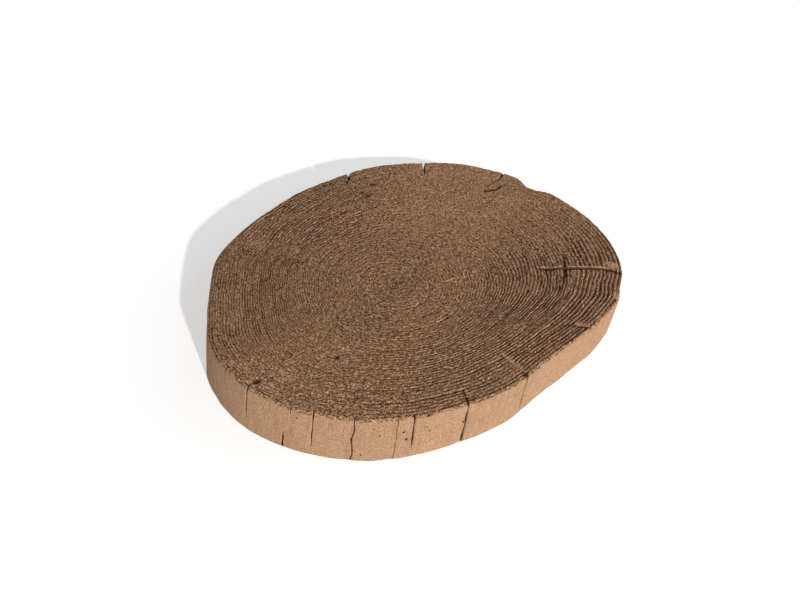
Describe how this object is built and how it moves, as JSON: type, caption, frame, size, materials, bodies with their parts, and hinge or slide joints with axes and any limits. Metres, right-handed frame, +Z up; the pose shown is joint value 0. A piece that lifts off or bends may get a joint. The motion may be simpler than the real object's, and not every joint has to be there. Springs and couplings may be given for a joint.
{
  "type": "garden stepping stone",
  "caption": "Oval cast concrete stepping stone shaped like a sawn log slice, with growth rings, drying cracks, a smooth leaning wall and a flat underside.",
  "frame": {"origin": "middle of the foot's box, at ground level on the underside", "axes": "+Z up out of the top face, +X along the long axis of the oval, +Y across it"},
  "size_m": [0.432, 0.324, 0.04],
  "materials": {
    "cast_concrete": "matte, brown pigmented cast concrete"
  },
  "bodies": {
    "root": {"stepping_stone": "cast_concrete"}
  },
  "joints": []
}
